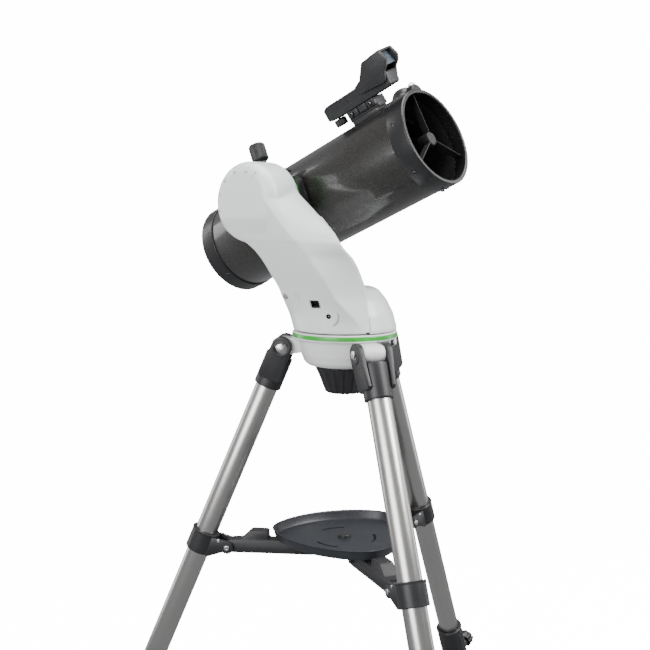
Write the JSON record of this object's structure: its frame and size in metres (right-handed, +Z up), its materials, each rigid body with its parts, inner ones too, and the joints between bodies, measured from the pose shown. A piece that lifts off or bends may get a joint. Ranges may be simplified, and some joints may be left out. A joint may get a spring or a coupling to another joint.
{
  "type": "telescope on tripod",
  "caption": "Short reflecting telescope on a motorised single-arm mount, standing on a folding steel tripod with a spreader and an accessory tray",
  "frame": {"origin": "on the floor, under the middle of the three feet", "axes": "+Z up; +X is the way the tube points in plan; the single arm stands on the -Y side of the tube"},
  "size_m": [0.656, 0.5891, 1.0426],
  "materials": {
    "white_shell": "satin white enamel",
    "white_base": "satin moulded white",
    "green_trim": "translucent green moulding",
    "black_plastic": "fine grained black moulding",
    "grey_metal": "satin dark grey casting",
    "tube_paint": "gloss black with fine metallic flake",
    "ring_paint": "satin black",
    "steel": "brushed along the leg",
    "fastener": "plated",
    "rubber": "moulded rubber",
    "brass": "machined",
    "mirror_glass": "aluminised glass",
    "board": "circuit board"
  },
  "bodies": {
    "head": {"tripod_head": "white_base", "hinge_bolts": "fastener", "mount_base": "white_base", "green_trim_ring": "green_trim", "azimuth_worm_wheel": "brass"},
    "fastening": {"fastening_knob": "black_plastic"},
    "leg_1": {"leg_bracket_1": "black_plastic", "outer_tube_1": "steel", "spreader_clamp_1": "black_plastic", "leg_sleeve_1": "black_plastic"},
    "lower_leg_1": {"inner_leg_1": "steel", "rubber_foot_1": "rubber"},
    "clamp_knob_1": {"leg_knob_1": "black_plastic"},
    "spreader_1": {"spreader_arm_1": "black_plastic"},
    "leg_2": {"leg_bracket_2": "black_plastic", "outer_tube_2": "steel", "spreader_clamp_2": "black_plastic", "leg_sleeve_2": "black_plastic"},
    "lower_leg_2": {"inner_leg_2": "steel", "rubber_foot_2": "rubber"},
    "clamp_knob_2": {"leg_knob_2": "black_plastic"},
    "spreader_2": {"spreader_arm_2": "black_plastic"},
    "leg_3": {"leg_bracket_3": "black_plastic", "outer_tube_3": "steel", "spreader_clamp_3": "black_plastic", "leg_sleeve_3": "black_plastic"},
    "lower_leg_3": {"inner_leg_3": "steel", "rubber_foot_3": "rubber"},
    "clamp_knob_3": {"leg_knob_3": "black_plastic"},
    "spreader_3": {"spreader_arm_3": "black_plastic"},
    "hub": {"spreader_hub": "black_plastic"},
    "tray": {"tray": "black_plastic"},
    "arm": {"turntable": "grey_metal", "arm_outer_shell": "white_shell", "arm_rear_cover": "white_shell", "azimuth_motor": "grey_metal", "altitude_motor": "grey_metal", "control_board": "board", "arm_sockets": "black_plastic"},
    "azimuth_worm": {"azimuth_worm": "fastener"},
    "altitude_worm": {"altitude_worm": "fastener"},
    "button": {"power_button": "grey_metal"},
    "altitude": {"altitude_shaft": "brass", "altitude_ring": "green_trim", "saddle": "grey_metal"},
    "saddle_jaw": {"saddle_jaw": "grey_metal"},
    "saddle_knob": {"saddle_knob": "black_plastic"},
    "tube": {"optical_tube": "tube_paint", "front_ring": "ring_paint", "rear_cell": "ring_paint", "primary_mirror": "mirror_glass", "spider": "ring_paint", "secondary_mirror": "mirror_glass", "dovetail_bar": "ring_paint", "focuser_body": "ring_paint", "finder_mount": "black_plastic", "finder_body": "black_plastic"},
    "drawtube": {"drawtube": "ring_paint"},
    "focus_knobs": {"focus_knobs": "black_plastic"},
    "finder_dial": {"finder_dial": "black_plastic"}
  },
  "joints": [
    {"name": "azimuth", "type": "hinge", "parent": "head", "child": "arm", "pos_m": [-0.00932, -0.08089, 0.664], "axis": [0, 0, 1], "continuous": true},
    {"name": "altitude", "type": "hinge", "parent": "arm", "child": "altitude", "pos_m": [-0.08332, -0.18089, 0.8386], "axis": [0, -1, 0], "range_deg": [-27.8, 37.2]},
    {"name": "dovetail_slide", "type": "slide", "parent": "altitude", "child": "tube", "axis": [0.9219, 0, 0.3875], "range_m": [0, 0.07]},
    {"name": "saddle_knob_turn", "type": "hinge", "parent": "altitude", "child": "saddle_knob", "pos_m": [-0.11625, -0.13189, 0.88984], "axis": [-0.3875, 0, 0.9219], "range_deg": [0, 720]},
    {"name": "saddle_jaw_slide", "type": "slide", "parent": "altitude", "child": "saddle_jaw", "axis": [-0.3875, 0, 0.9219], "range_m": [0, 0.0025]},
    {"name": "drawtube_slide", "type": "slide", "parent": "tube", "child": "drawtube", "axis": [-0.2969, 0.6428, 0.7062], "range_m": [0, 0.03]},
    {"name": "focus_knobs_turn", "type": "hinge", "parent": "tube", "child": "focus_knobs", "pos_m": [0.02551, -0.01872, 0.96936], "axis": [0.9219, 0, 0.3875], "range_deg": [0, 605]},
    {"name": "finder_dial_turn", "type": "hinge", "parent": "tube", "child": "finder_dial", "pos_m": [-0.01658, -0.08025, 0.9482], "axis": [-0.3641, -0.342, 0.8663], "range_deg": [0, 270]},
    {"name": "fastening_knob_turn", "type": "hinge", "parent": "head", "child": "fastening", "pos_m": [-0.00932, -0.08089, 0.6], "axis": [0, 0, 1], "continuous": true},
    {"name": "power_button_press", "type": "slide", "parent": "arm", "child": "button", "axis": [0, 1, 0], "range_m": [0, 0.001], "stiffness_N_per_m": 400, "springref_m": -0.0008},
    {"name": "azimuth_worm_turn", "type": "hinge", "parent": "arm", "child": "azimuth_worm", "pos_m": [-0.00932, -0.03789, 0.6835], "axis": [1, 0, 0], "continuous": true},
    {"name": "altitude_worm_turn", "type": "hinge", "parent": "arm", "child": "altitude_worm", "pos_m": [-0.05067, -0.17789, 0.859], "axis": [0.5299, 0, -0.848], "continuous": true},
    {"name": "hub_lift", "type": "slide", "parent": "head", "child": "hub", "axis": [0, 0, 1], "range_m": [0, 0.0855]},
    {"name": "tray_turn", "type": "hinge", "parent": "hub", "child": "tray", "pos_m": [-0.00932, -0.08089, 0.3646], "axis": [0, 0, 1], "range_deg": [0, 60]},
    {"name": "leg_fold_1", "type": "hinge", "parent": "head", "child": "leg_1", "pos_m": [-0.01383, 0.00499, 0.64], "axis": [-0.9986, -0.0523, 0], "range_deg": [0, 8.45]},
    {"name": "spreader_fold_1", "type": "hinge", "parent": "leg_1", "child": "spreader_1", "pos_m": [-0.01812, 0.08688, 0.3476], "axis": [-0.9986, -0.0523, 0], "range_deg": [0, 41.6]},
    {"name": "leg_extension_1", "type": "slide", "parent": "leg_1", "child": "lower_leg_1", "axis": [-0.0204, 0.3886, -0.9212], "range_m": [0, 0.4]},
    {"name": "leg_knob_turn_1", "type": "hinge", "parent": "leg_1", "child": "clamp_knob_1", "pos_m": [-0.02774, 0.27041, 0.08791], "axis": [-0.0482, 0.9199, 0.3891], "range_deg": [0, 720]},
    {"name": "leg_fold_2", "type": "hinge", "parent": "head", "child": "leg_2", "pos_m": [-0.08145, -0.12773, 0.64], "axis": [0.5446, -0.8387, 0], "range_deg": [0, 8.45]},
    {"name": "spreader_fold_2", "type": "hinge", "parent": "leg_2", "child": "spreader_2", "pos_m": [-0.15022, -0.17239, 0.3476], "axis": [0.5446, -0.8387, 0], "range_deg": [0, 41.6]},
    {"name": "leg_extension_2", "type": "slide", "parent": "leg_2", "child": "lower_leg_2", "axis": [-0.3263, -0.2119, -0.9212], "range_m": [0, 0.4]},
    {"name": "leg_knob_turn_2", "type": "hinge", "parent": "leg_2", "child": "clamp_knob_2", "pos_m": [-0.30435, -0.27248, 0.08791], "axis": [-0.7726, -0.5017, 0.3891], "range_deg": [0, 720]},
    {"name": "leg_fold_3", "type": "hinge", "parent": "head", "child": "leg_3", "pos_m": [0.0673, -0.11993, 0.64], "axis": [0.454, 0.891, 0], "range_deg": [0, 8.45]},
    {"name": "spreader_fold_3", "type": "hinge", "parent": "leg_3", "child": "spreader_3", "pos_m": [0.14036, -0.15716, 0.3476], "axis": [0.454, 0.891, 0], "range_deg": [0, 41.6]},
    {"name": "leg_extension_3", "type": "slide", "parent": "leg_3", "child": "lower_leg_3", "axis": [0.3467, -0.1767, -0.9212], "range_m": [0, 0.4]},
    {"name": "leg_knob_turn_3", "type": "hinge", "parent": "leg_3", "child": "clamp_knob_3", "pos_m": [0.30411, -0.24059, 0.08791], "axis": [0.8208, -0.4182, 0.3891], "range_deg": [0, 720]}
  ],
  "couplings": [
    {"joint": "leg_fold_2", "follows": "leg_fold_1", "ratio": 1},
    {"joint": "leg_fold_3", "follows": "leg_fold_1", "ratio": 1},
    {"joint": "hub_lift", "follows": "leg_fold_1", "m_per_rad": 0.579},
    {"joint": "spreader_fold_1", "follows": "leg_fold_1", "ratio": 4.917},
    {"joint": "spreader_fold_2", "follows": "leg_fold_1", "ratio": 4.917},
    {"joint": "spreader_fold_3", "follows": "leg_fold_1", "ratio": 4.917},
    {"joint": "azimuth_worm_turn", "follows": "azimuth", "ratio": 60},
    {"joint": "altitude_worm_turn", "follows": "altitude", "ratio": 60},
    {"joint": "focus_knobs_turn", "follows": "drawtube_slide", "rad_per_m": 349},
    {"joint": "saddle_knob_turn", "follows": "saddle_jaw_slide", "rad_per_m": 5026}
  ]
}
